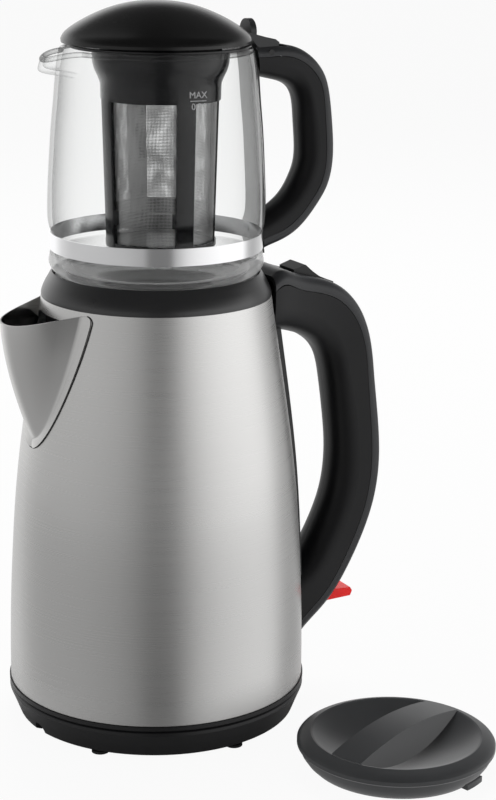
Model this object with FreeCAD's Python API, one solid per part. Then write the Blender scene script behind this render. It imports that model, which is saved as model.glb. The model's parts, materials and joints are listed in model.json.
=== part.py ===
"""Automatic tea maker: an electric kettle on a power base, with a glass teapot stacked on it.

Millimetres.  +Z is up, the origin is the middle of the base where it meets the table.
Both handles point to +X and both spouts to -X.  The kettle's own lid lies beside the base.
Each function below makes one piece, or one group of like pieces, and returns its shape.
"""
import FreeCAD
import Part
import math
import os

from FreeCAD import Vector

# ---------------------------------------------------------------- driving dimensions
# power base
FOOT_COUNT = 6
FOOT_RADIUS = 4.5
FOOT_CIRCLE = 69.5
FOOT_FIRST_ANGLE = 40.0
BASE_CLEARANCE = 1.3          # height of the plate above the table
BASE_TOP = 17.2
BASE_WALL = 2.4
PLUG_RADIUS = 14.0
PLUG_TOP = 28.5
SOCKET_BORE = 14.7
BASE_SCREW_CIRCLE = 55.0

# kettle
COVER_BOTTOM = 17.55
STEEL_BOTTOM = 20.3
STEEL_TOP = 228.5
STEEL_WALL = 1.0
STEEL_OUTLINE = [(78.8, STEEL_BOTTOM), (78.1, 60.9), (76.4, 95.4), (73.8, 128.9),
                 (70.2, 158.5), (65.1, 192.5), (59.6, STEEL_TOP)]
PLATE_HEIGHT = 43.0
MOUTH_RADIUS = 44.6
SEAT_HEIGHT = 237.0
RECESS_RADIUS = 53.3
SPOUT_APEX = 154.0
SPOUT_TIP = 86.4
SPOUT_SEAM_WIDTH = 33.2
SPOUT_WALL = 1.0
SPINE_HALF_WIDTH = 17.0
SPINE_THICKNESS = 4.0
SPINE_BOTTOM = 66.0

# fixings of the kettle handle: height of the stud, inner face of the mounting wall
UPPER_FIXING = (221.0, 72.0)
LOWER_FIXING = (57.0, 82.5)
VENT_HEIGHT = 211.5

# kettle handle: inner x, inner z, outer x, outer z, half width, along the arch
KETTLE_HANDLE = [(56.0, 206.8, 56.0, 236.3, 27.0), (70.5, 203.8, 72.5, 235.7, 21.5),
                 (81.0, 200.0, 87.5, 231.4, 17.5), (91.2, 193.5, 103.6, 225.3, 15.0),
                 (97.2, 184.3, 116.1, 213.8, 14.0), (100.4, 171.0, 123.7, 197.2, 14.0),
                 (102.6, 155.0, 127.7, 173.5, 14.0), (104.5, 137.0, 130.9, 149.0, 14.0),
                 (104.5, 123.0, 132.5, 124.0, 14.0), (102.0, 107.0, 129.3, 100.0, 14.0),
                 (96.8, 93.0, 122.2, 80.3, 14.0), (90.3, 79.8, 112.2, 61.8, 14.5),
                 (82.5, 69.0, 98.6, 44.2, 15.0), (69.5, 58.0, 79.5, 26.0, 15.5)]
KETTLE_CAP_DEPTH = 7.5
KETTLE_GRIP_CORNER = 13.0
HANDLE_WALL = 2.6
PARTING_GAP = 0.3
LEVER_PIVOT = (97.5, 222.0)
LEVER_HALF_WIDTH = 8.0
SWITCH_PIVOT = (91.0, 50.5)
SWITCH_HALF_WIDTH = 8.0

# glass teapot
GLASS_BOTTOM = 238.7
GLASS_RIM = 354.0
GLASS_WALL = 2.2
BAND_BOTTOM = 252.9
BAND_TOP = 261.7
BAND_RADIUS = 54.15
BAND_THICKNESS = 0.6
TEAPOT_HANDLE = [(52.0, 337.8, 52.0, 354.2, 10.5), (61.5, 336.8, 64.0, 354.2, 10.5),
                 (70.7, 334.5, 77.0, 352.5, 10.3), (78.0, 328.9, 88.0, 345.9, 10.0),
                 (80.6, 319.0, 95.9, 333.4, 10.0), (81.2, 309.0, 99.2, 314.0, 10.0),
                 (81.8, 297.0, 100.3, 297.0, 10.0), (80.0, 288.0, 98.0, 281.8, 10.0),
                 (75.8, 279.8, 92.4, 271.5, 10.0), (70.0, 273.3, 84.1, 261.4, 10.0),
                 (63.5, 268.7, 73.0, 253.3, 10.0), (55.0, 264.5, 58.5, 248.0, 10.0)]
TEAPOT_CAP_DEPTH = 6.0
TEAPOT_GRIP_CORNER = 8.8
TEAPOT_SPINE_HALF_WIDTH = 8.6
LID_PIVOT = (60.3, 350.6)
LID_PIN_RADIUS = 1.5
HINGE_SLOT = 8.4              # half width of the slot between the two cheeks
ARM_HALF_WIDTH = 8.0

# infuser
INFUSER_OFFSET = 2.5          # the basket hangs this far towards the handle
INFUSER_BOTTOM = 254.5
INFUSER_TOP_RADIUS = 30.4
INFUSER_BOTTOM_RADIUS = 28.4
FUNNEL_RADIUS = 34.8
FUNNEL_BOTTOM = 333.0

# the kettle's own lid, lying on the table
LOOSE_LID_CENTRE = (77.0, -123.2)
LOOSE_LID_RADIUS = 50.7
LOOSE_LID_BAR_ANGLE = 23.0
LOOSE_LID_BAR_HALF_WIDTH = 9.0
LOOSE_LID_BAR_RISE = 5.8
LOOSE_LID_BOWL_RADIUS = 43.2
LOOSE_LID_LUG_ANGLES = (-66, 114)
CORD_ANGLE = -170.0

AXIS = Vector(0, 0, 1)
ORIGIN = Vector(0, 0, 0)
FIT = 0.05                    # radial play of a pin in its bore


# ---------------------------------------------------------------- shape helpers
def spline(points):
    curve = Part.BSplineCurve()
    curve.interpolate([Vector(r, 0, z) for r, z in points])
    return curve.toShape()


def straight(points):
    corners = [Vector(r, 0, z) for r, z in points]
    return [Part.makeLine(a, b) for a, b in zip(corners, corners[1:])]


def turned(*edges, x=0.0, y=0.0):
    """Solid of revolution from a closed outline in the (radius, height) plane."""
    wire = Part.Wire(Part.__sortEdges__(list(edges)))
    solid = Part.Face(wire).revolve(ORIGIN, AXIS, 360)
    solid.translate(Vector(x, y, 0))
    return Part.Solid(solid) if solid.ShapeType != "Solid" else solid


def ring(points, x=0.0, y=0.0):
    return turned(*straight(points + [points[0]]), x=x, y=y)


def disc(radius, bottom, top, x=0.0, y=0.0):
    return Part.makeCylinder(radius, top - bottom, Vector(x, y, bottom))


def tube(inner, outer, bottom, top, x=0.0, y=0.0):
    return disc(outer, bottom, top, x, y).cut(disc(inner, bottom - 1, top + 1, x, y))


def block(x0, x1, y0, y1, z0, z1):
    return Part.makeBox(x1 - x0, y1 - y0, z1 - z0, Vector(x0, y0, z0))


def cross_pin(x, z, radius, half_length):
    """Round bar along Y."""
    return Part.makeCylinder(radius, 2 * half_length, Vector(x, -half_length, z), Vector(0, 1, 0))


def plate(points, half_width):
    """A closed (x, z) outline, thickened evenly to both sides of the middle plane."""
    corners = [Vector(x, -half_width, z) for x, z in points]
    face = Part.Face(Part.makePolygon(corners + [corners[0]]))
    return face.extrude(Vector(0, 2 * half_width, 0))


def polar(radius, angle):
    return radius * math.cos(math.radians(angle)), radius * math.sin(math.radians(angle))


def group(shapes):
    return Part.makeCompound(shapes)


def largest(shape):
    """The biggest solid of a cut, without the crumbs."""
    return max(shape.Solids, key=lambda solid: solid.Volume)


# ---------------------------------------------------------------- envelopes
def steel_outline(offset):
    return [(r + offset, z) for r, z in STEEL_OUTLINE]


def steel_envelope(offset):
    """Everything inside the kettle's steel wall, grown by an offset."""
    wall = steel_outline(offset)
    top = [wall[-1], (wall[-1][0], STEEL_TOP + 1.0), (0, STEEL_TOP + 1.0), (0, STEEL_BOTTOM), wall[0]]
    return turned(spline(wall), *straight(top))


def collar_outline():
    return [(59.6, STEEL_TOP), (59.5, 230.4), (58.6, 233.0), (57.3, 235.7), (55.8, 238.2),
            (54.6, 240.2), (53.9, 240.9)]


def collar_envelope(offset):
    rim = [(r + offset, z) for r, z in collar_outline()]
    rim[0] = (rim[0][0], STEEL_TOP - 3.0)
    top = [rim[-1], (rim[-1][0], 246.0), (0, 246.0), (0, STEEL_TOP - 3.0), rim[0]]
    return turned(spline(rim), *straight(top))


def glass_foot(offset):
    return [(43.0, GLASS_BOTTOM - offset), (50.6, 239.8 - offset), (54.0 + offset, 242.6),
            (55.4 + offset, 246.0), (54.9 + offset, 250.0), (54.1 + offset, BAND_BOTTOM - 0.3)]


def glass_wall(offset):
    return [(54.1 + offset, BAND_TOP + 0.3), (55.2 + offset, 265.0), (55.8 + offset, 271.0),
            (55.5 + offset, 283.0), (54.9 + offset, 294.0), (53.6 + offset, 313.0),
            (52.1 + offset, 328.0), (51.1 + offset, 340.0), (48.7 + offset, GLASS_RIM)]


def glass_envelope(offset, top=GLASS_RIM):
    """The teapot's outer form without its pouring lip, grown by an offset."""
    foot, wall = glass_foot(offset), glass_wall(offset)
    closing = [wall[-1], (wall[-1][0], top), (0, top), (0, GLASS_BOTTOM - offset), foot[0]]
    closing = [p for i, p in enumerate(closing) if i == 0 or p != closing[i - 1]]
    return turned(spline(foot), *straight([foot[-1], wall[0]]), spline(wall), *straight(closing))


# ---------------------------------------------------------------- handle sections
def station_point(station, u, v):
    """u runs from the finger side to the back of the hand side, v across the handle."""
    x0, z0, x1, z1, _ = station
    length = math.hypot(x1 - x0, z1 - z0)
    return Vector(x0 + (x1 - x0) * u / length, v, z0 + (z1 - z0) * u / length)


def station_depth(station):
    x0, z0, x1, z1, _ = station
    return math.hypot(x1 - x0, z1 - z0)


def rounded_section(station, u_flat, u_round, half_width, corner):
    """Closed wire, square at u_flat and with two rounded corners at u_round."""
    inward = 1.0 if u_flat > u_round else -1.0
    u_corner = u_round + inward * corner
    v_corner = half_width - corner
    slack = corner * (1.0 - math.sqrt(0.5))
    at = lambda u, v: station_point(station, u, v)
    side_low = Part.makeLine(at(u_flat, -half_width), at(u_corner, -half_width))
    arc_low = Part.Arc(at(u_corner, -half_width), at(u_round + inward * slack, -half_width + slack),
                       at(u_round, -v_corner)).toShape()
    nose = Part.makeLine(at(u_round, -v_corner), at(u_round, v_corner))
    arc_high = Part.Arc(at(u_round, v_corner), at(u_round + inward * slack, half_width - slack),
                        at(u_corner, half_width)).toShape()
    side_high = Part.makeLine(at(u_corner, half_width), at(u_flat, half_width))
    closing = Part.makeLine(at(u_flat, half_width), at(u_flat, -half_width))
    return Part.Wire([side_low, arc_low, nose, arc_high, side_high, closing])


def parting_slab(stations, cap_depth, low, high):
    """Wide slab that follows a handle, between two heights over its parting."""
    sections = []
    for station in stations:
        parting = station_depth(station) - cap_depth
        half = station[4] + 4.0
        corners = [station_point(station, parting + u, v)
                   for u, v in ((low, -half), (high, -half), (high, half), (low, half))]
        sections.append(Part.makePolygon(corners + corners[:1]))
    return Part.makeLoft(sections, True)


def grip_bar(stations, cap_depth, corner):
    """The finger side of a handle as a full bar, up to the parting."""
    skin = [rounded_section(s, station_depth(s) - cap_depth + 1.0, 0.0, s[4], corner) for s in stations]
    return Part.makeLoft(skin, True).cut(parting_slab(stations, cap_depth, 0.0, 4.0))


def grip_shell(stations, cap_depth, corner, wall):
    """The finger side of a handle: a channel, open towards its cap."""
    cavity = []
    for station in stations:
        parting = station_depth(station) - cap_depth
        cavity.append(rounded_section(station, parting + 2.0, wall, station[4] - wall, corner - wall))
    return grip_bar(stations, cap_depth, corner).cut(Part.makeLoft(cavity, True))


def cap_shell(stations, cap_depth, wall):
    """The back of a handle: a shallow cover that closes the channel."""
    skin, cavity = [], []
    for station in stations:
        depth = station_depth(station)
        parting = depth - cap_depth
        half = station[4]
        corner = 0.8 * cap_depth
        skin.append(rounded_section(station, parting - 1.0, depth, half, corner))
        cavity.append(rounded_section(station, parting - 2.0, depth - wall, half - wall, corner - wall))
    shell = Part.makeLoft(skin, True).cut(Part.makeLoft(cavity, True))
    return shell.cut(parting_slab(stations, cap_depth, -4.0, PARTING_GAP))


# ---------------------------------------------------------------- power base
def base_shell():
    skin = ring([(71.3, BASE_CLEARANCE), (74.5, 2.6), (77.0, 9.1), (79.4, 15.0), (79.2, 16.6),
                 (78.5, BASE_TOP), (62.0, BASE_TOP), (58.0, 15.2), (SOCKET_BORE, 15.2),
                 (SOCKET_BORE, 12.8), (57.0, 12.8), (61.0, 14.8), (77.1, 14.8), (74.8, 9.1),
                 (73.0, 4.6), (71.3, 3.6)])
    for angle in (30, 150, 270):
        x, y = polar(BASE_SCREW_CIRCLE, angle)
        skin = skin.fuse(disc(4.0, 3.3, 13.2, x, y)).cut(disc(1.55, 3.0, 11.5, x, y))
    return skin.cut(cord_outlet())


def cord_outlet():
    """Arched notch in the rim where the mains lead leaves."""
    arch = Part.makeCylinder(4.0, 20.0, Vector(-86, 0, 3.4), Vector(1, 0, 0))
    notch = arch.fuse(block(-86, -66, -4.0, 4.0, -1.0, 3.4))
    notch.rotate(ORIGIN, AXIS, CORD_ANGLE + 180)
    return notch


def base_bottom_plate():
    sheet = disc(71.0, BASE_CLEARANCE, 3.2).fuse(disc(6.0, 3.2, 9.2))
    for angle in (30, 150, 270):
        x, y = polar(BASE_SCREW_CIRCLE, angle)
        sheet = sheet.cut(disc(1.7, 0, 5, x, y)).cut(disc(3.3, 0, 2.3, x, y))
    return sheet.cut(cord_outlet())


def base_screws():
    screws = []
    for angle in (30, 150, 270):
        x, y = polar(BASE_SCREW_CIRCLE, angle)
        screws.append(disc(3.0, 1.4, 2.3, x, y).fuse(disc(1.5, 2.3, 10.5, x, y)))
    return group(screws)


def base_feet():
    """Ring of pads, and one in the middle under the plug, where the kettle is set down."""
    pads = [disc(FOOT_RADIUS, 0.0, BASE_CLEARANCE)]
    for index in range(FOOT_COUNT):
        x, y = polar(FOOT_CIRCLE, FOOT_FIRST_ANGLE + index * 360.0 / FOOT_COUNT)
        pads.append(disc(FOOT_RADIUS, 0.0, BASE_CLEARANCE, x, y))
    return group(pads)


def base_connector():
    """Round plug that lets the kettle be set down at any angle."""
    body = ring([(0, 9.6), (17.0, 9.6), (17.0, 12.3), (PLUG_RADIUS, 12.3), (PLUG_RADIUS, PLUG_TOP - 1.5),
                 (PLUG_RADIUS - 1.5, PLUG_TOP), (9.6, PLUG_TOP), (9.6, 21.0), (6.4, 21.0),
                 (6.4, PLUG_TOP), (2.6, PLUG_TOP), (2.6, 21.0), (0, 21.0)])
    return body


def base_contacts():
    outer = tube(8.9, 9.5, 21.0, PLUG_TOP - 1.0)
    inner = tube(1.9, 2.5, 21.0, PLUG_TOP - 1.0)
    return group([outer, inner])


# ---------------------------------------------------------------- kettle, lower end
def bottom_cover():
    cup = ring([(20.6, COVER_BOTTOM), (79.0, COVER_BOTTOM), (79.5, 18.1), (79.5, 20.1), (77.5, 20.1),
                (77.4, 30.0), (75.6, 30.0), (75.6, 20.6), (20.6, 20.6)])
    for angle in (90, 210, 330):
        x, y = polar(60.0, angle)
        cup = cup.cut(disc(1.7, 15, 25, x, y)).cut(disc(3.3, 15, 19.2, x, y))
    return cup


def cover_screws():
    screws = []
    for angle in (90, 210, 330):
        x, y = polar(60.0, angle)
        screws.append(disc(3.0, 17.7, 19.1, x, y).fuse(disc(1.5, 19.1, 30.0, x, y)))
    return group(screws)


def heater_plate():
    rim = 77.0
    dish = ring([(0, PLATE_HEIGHT), (rim - 1.2, PLATE_HEIGHT), (rim - 0.6, PLATE_HEIGHT - 1.0),
                 (rim, PLATE_HEIGHT - 1.0), (rim, 50.0), (rim - 1.2, 50.0),
                 (rim - 1.2, PLATE_HEIGHT + 1.2), (0, PLATE_HEIGHT + 1.2)])
    for angle in (90, 210, 330):
        x, y = polar(60.0, angle)
        dish = dish.fuse(tube(1.55, 3.2, 22.0, PLATE_HEIGHT + 0.2, x, y))
        dish = dish.fuse(disc(3.2, PLATE_HEIGHT - 2.0, PLATE_HEIGHT + 0.5, x, y))
    return dish


def heating_element():
    """Sheathed element brazed under the plate, bent into an open ring."""
    whole = Part.makeTorus(48.0, 4.0, Vector(0, 0, PLATE_HEIGHT - 4.1))
    bent = whole.cut(block(30, 60, -14, 14, 30, 50))
    for side in (-1, 1):
        x = math.sqrt(48.0 ** 2 - 16.5 ** 2)
        bent = bent.fuse(disc(2.0, 26.0, PLATE_HEIGHT - 5.0, x, side * 16.5))
    return bent


def kettle_connector():
    """Round socket under the kettle that drops over the plug."""
    return ring([(SOCKET_BORE, 18.2), (20.3, 18.2), (20.3, 33.0), (0, 33.0), (0, 29.6),
                 (SOCKET_BORE, 29.6)])


def connector_pins():
    """The kettle's side of the contacts, hanging into the plug's two rings."""
    outer = tube(7.4, 8.2, 22.5, 29.6)
    inner = disc(1.3, 22.5, 29.6)
    return group([outer, inner])


def thermal_control():
    """Cut-out and thermostat block, held up against the plate."""
    body = disc(17.0, 33.0, 39.0).fuse(block(-30, 30, -9, 9, 33.0, 38.0))
    return body.fuse(disc(9.5, 39.0, PLATE_HEIGHT))


# ---------------------------------------------------------------- kettle, body
def spout_section(z, tip, half_width, root):
    """Closed wire at height z: a parabola from the wall to the tip and back, and its chord."""
    curve = Part.BezierCurve()
    curve.setPoles([Vector(-root, -half_width, z), Vector(root - 2 * tip, 0, z),
                    Vector(-root, half_width, z)])
    chord = Part.makeLine(Vector(-root, half_width, z), Vector(-root, -half_width, z))
    return Part.Wire([curve.toShape(), chord])


def steel_radius(z):
    """Straight-line reading of the steel outline, close enough to place the spout's root."""
    for (r0, z0), (r1, z1) in zip(STEEL_OUTLINE, STEEL_OUTLINE[1:]):
        if z <= z1:
            return r0 + (r1 - r0) * (z - z0) / (z1 - z0)
    return STEEL_OUTLINE[-1][0]


def seam_half_width(z):
    """Half width of the V where the spout meets the wall."""
    height = max(0.0, min(1.0, (z - SPOUT_APEX) / (STEEL_TOP - SPOUT_APEX)))
    return SPOUT_SEAM_WIDTH * math.sqrt(1.0 - (1.0 - height) ** 1.5)


def ridge(z):
    """How far the spout's ridge stands from the kettle's axis."""
    rise = max(0.0, (z - SPOUT_APEX) / (STEEL_TOP - SPOUT_APEX))
    start = steel_radius(SPOUT_APEX)
    return start + (SPOUT_TIP - start) * math.sin(rise * math.pi / 2) ** 1.2


def spout_form(inset):
    """Solid V spout, made smaller all round by an inset."""
    sections = []
    for z in (158.0, 164.0, 172.0, 182.0, 194.0, 208.0, 220.0, 232.0):
        half = seam_half_width(z) - inset
        root = math.sqrt(steel_radius(z) ** 2 - half ** 2) - 3.0
        tip = max(ridge(z) - inset, root + 1.0)
        sections.append(spout_section(z, tip, half, root))
    return Part.makeLoft(sections, True)


def lip_cutter():
    """Everything above the sloping lip of the spout."""
    return plate([(-95.0, 219.6), (-52.0, 227.6), (-20.0, 229.5), (-20.0, 245.0), (-95.0, 245.0)], 60.0)


def spout():
    shell = spout_form(0.0).cut(spout_form(SPOUT_WALL)).cut(steel_envelope(0.0))
    return largest(shell.cut(lip_cutter()))


def spout_hole():
    """Opening in the kettle's wall behind the spout."""
    points = [(158.0, 0.0)]
    for z in (166.0, 178.0, 192.0, 206.0, 214.0):
        points.append((z, seam_half_width(z) - 4.0))
    points += [(220.0, 22.0), (222.0, 14.0)]
    right = [Vector(-90, y, z) for z, y in points]
    left = [Vector(-90, -y, z) for z, y in reversed(points[1:])]
    face = Part.Face(Part.makePolygon(right + left + [right[0]]))
    return face.extrude(Vector(60, 0, 0))


def kettle_body():
    inner = steel_outline(-STEEL_WALL)
    shell = turned(spline(steel_outline(0.0)), *straight([STEEL_OUTLINE[-1], inner[-1]]),
                   spline(inner), *straight([inner[0], STEEL_OUTLINE[0]]))
    shell = shell.cut(spout_hole())
    shell = shell.cut(block(60, 85, -3.0, 3.0, 100.0, 182.0))
    return shell.cut(steam_vent())


def steam_vent():
    """Passage from the kettle into the hollow handle, for the steam that trips the switch."""
    return Part.makeCylinder(2.4, 40, Vector(50, 0, VENT_HEIGHT), Vector(1, 0, 0))


def spout_filter():
    """Fine strainer in a frame, clipped behind the spout opening."""
    frame = tube(55.6, 57.2, 160.0, 221.0).common(block(-60, 0, -28, 28, 150, 230))
    for row in range(4):
        for column in range(-2, 3):
            width = 4.0
            z = 166.0 + row * 13.0
            frame = frame.cut(block(-60, -40, column * 9.5 - width, column * 9.5 + width, z, z + 10.0))
    return frame.cut(filter_mesh())


def filter_mesh():
    return tube(56.2, 56.5, 164.0, 218.0).common(block(-60, 0, -25, 25, 150, 230)).cut(
        tube(55.0, 56.15, 150, 230))


def collar():
    rim = collar_outline()
    inside = [rim[-1], (RECESS_RADIUS, 240.4), (RECESS_RADIUS, SEAT_HEIGHT),
              (MOUTH_RADIUS, SEAT_HEIGHT), (MOUTH_RADIUS, 231.0), (56.2, 231.0), (56.2, 222.6),
              (58.2, 222.6), (58.2, STEEL_TOP), rim[0]]
    body = turned(spline(rim), *straight(inside))
    for index in range(3):
        x, y = polar(45.0, 60 + index * 120)
        body = body.cut(disc(5.5, 229.0, SEAT_HEIGHT + 1.0, x, y).common(disc(48.2, 220, 245)))
    return body


def collar_gasket():
    """Soft ring that the teapot stands on and that seals the kettle's lid."""
    return ring([(49.2, SEAT_HEIGHT), (52.6, SEAT_HEIGHT), (52.6, SEAT_HEIGHT + 0.7),
                 (50.9, SEAT_HEIGHT + 1.3), (49.2, SEAT_HEIGHT + 0.7)])


# ---------------------------------------------------------------- kettle, back
def spine_envelope(offset):
    wide = SPINE_HALF_WIDTH + offset
    slab = block(30, 100, -wide, wide, SPINE_BOTTOM - offset, STEEL_TOP + 1.0)
    return steel_envelope(SPINE_THICKNESS + offset).common(slab)


def handle_spine():
    """Strip along the kettle's back that carries both ends of the handle."""
    strip = spine_envelope(0.0).cut(steel_envelope(0.05)).cut(collar_envelope(0.1))
    strip = strip.cut(block(60, 90, -5.2, 5.2, 96.0, 186.0))
    return largest(strip.cut(steam_vent()).cut(stud_hole(UPPER_FIXING[0])))


def gauge_window(offset, thickness):
    shell = steel_envelope(offset + thickness).cut(steel_envelope(offset))
    return largest(shell.common(block(60, 100, -5.0, 5.0, 96.3, 185.7)))


def water_gauge():
    """Clear window with the water level showing, on the back under the hand."""
    return gauge_window(1.0, 2.8)


def gauge_seal():
    frame = gauge_window(0.1, 0.8)
    return frame.cut(block(55, 100, -3.2, 3.2, 99.0, 183.0))


def stud_hole(z):
    return Part.makeCylinder(2.6, 60, Vector(50, 0, z), Vector(1, 0, 0))


def handle_studs():
    """Threaded studs welded to the steel wall, one behind each end of the handle."""
    studs = []
    for z, wall in (UPPER_FIXING, LOWER_FIXING):
        studs.append(Part.makeCylinder(2.5, wall + 5.0 - 50.0, Vector(50, 0, z), Vector(1, 0, 0)))
    return group([stud.cut(steel_envelope(0.02)) for stud in studs])


def handle_nuts():
    nuts = []
    for z, start in (UPPER_FIXING, LOWER_FIXING):
        corners = []
        for step in range(7):
            y, dz = polar(4.6, 60 * step)
            corners.append(Vector(start, y, z + dz))
        nut = Part.Face(Part.makePolygon(corners)).extrude(Vector(3.2, 0, 0))
        nuts.append(nut.cut(Part.makeCylinder(2.55, 60, Vector(50, 0, z), Vector(1, 0, 0))))
    return group(nuts)


# ---------------------------------------------------------------- kettle handle
def kettle_handle_trim(shell):
    """Cut a handle part back to the wall, the collar and the spine."""
    shell = shell.cut(steel_envelope(0.3)).cut(collar_envelope(0.25)).cut(spine_envelope(0.2))
    return largest(shell)


def kettle_grip():
    """Finger side of the kettle handle, with a mounting wall at each end."""
    shell = grip_shell(KETTLE_HANDLE, KETTLE_CAP_DEPTH, KETTLE_GRIP_CORNER, HANDLE_WALL)
    bar = grip_bar(KETTLE_HANDLE, KETTLE_CAP_DEPTH, KETTLE_GRIP_CORNER)
    shell = shell.fuse(bar.common(block(55, UPPER_FIXING[1], -30, 30, 190, 240)))
    shell = shell.fuse(bar.common(block(70, LOWER_FIXING[1], -30, 30, 25, 65.5)))
    for z, _ in (UPPER_FIXING, LOWER_FIXING):
        shell = shell.cut(stud_hole(z))
    shell = shell.cut(steam_vent()).cut(lever_pocket()).cut(switch_slot())
    shell = shell.cut(cross_pin(*SWITCH_PIVOT, 1.5, 13.2))
    return kettle_handle_trim(shell)


def kettle_cap():
    """Back of the kettle handle, with the lever's slot on top and the switch's slot below."""
    shell = cap_shell(KETTLE_HANDLE, KETTLE_CAP_DEPTH, HANDLE_WALL)
    return kettle_handle_trim(shell.cut(lever_pocket()).cut(switch_slot()))


def lever_pocket():
    """Slot in the top of the handle that the release lever sinks into."""
    return plate([(75.4, 228.5), (90.0, 217.5), (101.8, 217.0), (102.2, 224.0), (102.2, 240.0),
                  (75.4, 245.0)], LEVER_HALF_WIDTH + 0.4)


def switch_slot():
    """Slot in the lower end of the handle that the switch lever swings in."""
    return plate([(86.6, 56.2), (86.6, 45.0), (93.0, 44.6), (104.0, 41.0), (130.0, 30.0), (130.0, 54.0),
                  (108.0, 51.4), (97.0, 56.2)], SWITCH_HALF_WIDTH + 0.4)


def release_lever():
    """Thumb lever on top of the handle."""
    x, z = LEVER_PIVOT
    pad = plate([(77.0, 233.0), (77.0, 235.6), (83.5, 237.8), (84.2, 237.6), (88.9, 233.5), (92.9, 230.7),
                 (97.0, 228.8), (101.2, 227.3), (101.7, 225.8), (100.4, 224.4), (93.0, 226.3),
                 (85.0, 230.0)], LEVER_HALF_WIDTH)
    ears = plate([(92.5, 228.5), (100.8, 226.4), (x + 3.1, z - 0.8), (x + 1.4, z - 3.0),
                  (x - 1.4, z - 3.0), (x - 3.1, z - 0.8)], LEVER_HALF_WIDTH)
    ears = ears.cut(block(90, 110, -5.5, 5.5, 210, 224.6))
    return pad.fuse(ears).cut(cross_pin(x, z, 1.2 + FIT, 20))


def lever_pin():
    return cross_pin(*LEVER_PIVOT, 1.2, 11.0)


def lever_seat():
    """Inner bracket, held by the mounting wall, that carries the lever's pin and the leaf spring."""
    wall = UPPER_FIXING[1]
    inner = LEVER_HALF_WIDTH + 0.4
    saddle = plate([(wall, 207.3), (101.0, 207.3), (101.6, 214.0), (100.0, 224.2), (95.0, 224.2),
                    (92.0, 209.0), (wall, 209.0)], 11.0)
    saddle = saddle.cut(block(85, 110, -inner, inner, 209.0, 230))
    return saddle.cut(cross_pin(*LEVER_PIVOT, 1.2, 20))


def lever_spring():
    """Leaf spring that holds the lever up."""
    return plate([(78.0, 209.0), (89.0, 209.0), (89.6, 209.6), (84.5, 228.5), (83.9, 228.3),
                  (88.7, 209.6), (78.0, 209.6)], 2.5)


def switch_lever():
    """Translucent on and off lever."""
    x, z = SWITCH_PIVOT
    arm = plate([(x - 3.2, z + 2.6), (x - 0.6, z + 4.0), (x + 2.6, z + 3.9), (105.8, 50.5), (116.9, 49.9),
                 (118.2, 47.8), (117.0, 45.0), (102.0, 44.5), (x + 2.4, z - 4.0), (x - 1.0, z - 4.0),
                 (x - 3.4, z - 2.4)], SWITCH_HALF_WIDTH)
    return arm.cut(cross_pin(x, z, 1.5 + FIT, 20))


def switch_pin():
    return cross_pin(*SWITCH_PIVOT, 1.5, 13.2)


def switch_housing():
    """Snap switch in the lower end of the handle, on a bracket from the mounting wall."""
    return block(92.0, 106.0, -7.5, 7.5, 60.0, 69.0).fuse(block(LOWER_FIXING[1], 92.0, -5.0, 5.0, 62.0, 65.0))


def steam_bimetal():
    """Disc that trips the switch when steam comes down the handle."""
    return disc(5.5, 69.0, 69.8, 99.0)


def indicator_lamp():
    return cross_pin(98.0, 58.6, 1.4, 5.0)


# ---------------------------------------------------------------- glass teapot
def pouring_lip(inset):
    """Solid form of the small glass beak at the rim."""
    sections = []
    for z, tip, half in ((337.0, 50.5, 4.0), (341.0, 55.5, 7.5), (346.0, 60.5, 10.0),
                         (350.5, 62.6, 12.0), (GLASS_RIM + 1.0, 63.0, 13.5)):
        sections.append(spout_section(z, tip - inset, half - inset * 0.8, 44.0 - inset))
    return Part.makeLoft(sections, True)


def teapot_glass():
    outside = glass_envelope(0.0).fuse(pouring_lip(0.0))
    hollow = turned(spline([(42.0, 241.7), (50.0, 243.2), (52.6, 248.5), (51.9, 257.0), (53.3, 268.0),
                            (53.3, 283.0), (52.7, 294.0), (51.4, 313.0), (49.9, 328.0),
                            (48.9, 340.0), (46.4, GLASS_RIM)]),
                    *straight([(46.4, GLASS_RIM), (46.4, GLASS_RIM + 5), (0, GLASS_RIM + 5),
                               (0, 241.7), (42.0, 241.7)]))
    over = disc(90, GLASS_RIM, GLASS_RIM + 10)
    return largest(outside.cut(hollow).cut(pouring_lip(GLASS_WALL)).cut(over))


def chrome_band():
    body = tube(BAND_RADIUS, BAND_RADIUS + BAND_THICKNESS, BAND_BOTTOM, BAND_TOP)
    middle = (BAND_BOTTOM + BAND_TOP) / 2
    return body.cut(Part.makeCylinder(1.7, 20, Vector(50, 0, middle), Vector(1, 0, 0)))


def teapot_spine():
    """Strip of the teapot handle that lies against the glass."""
    wide = TEAPOT_SPINE_HALF_WIDTH
    slab = block(30, 80, -wide, wide, 246.3, 351.5)
    strip = glass_envelope(3.8, GLASS_RIM + 1).cut(glass_envelope(0.9, GLASS_RIM + 2)).common(slab)
    middle = (BAND_BOTTOM + BAND_TOP) / 2
    return largest(strip.cut(Part.makeCylinder(1.8, 40, Vector(50, 0, middle), Vector(1, 0, 0))))


def band_screw():
    """Draws the band tight and holds the handle's lower end."""
    middle = (BAND_BOTTOM + BAND_TOP) / 2
    shank = Part.makeCylinder(1.6, 14.5, Vector(54.3, 0, middle), Vector(1, 0, 0))
    head = Part.makeCylinder(2.6, 1.4, Vector(68.8, 0, middle), Vector(1, 0, 0))
    return shank.fuse(head)


def hinge_slot():
    x, z = LID_PIVOT
    slot = block(48.0, 66.0, -HINGE_SLOT, HINGE_SLOT, z - 6.5, z + 20.0)
    swept = cross_pin(x, z, 9.4, HINGE_SLOT)
    top = block(x, x + 9.4, -HINGE_SLOT, HINGE_SLOT, z, z + 20.0)
    return slot.fuse(swept).fuse(top)


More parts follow.
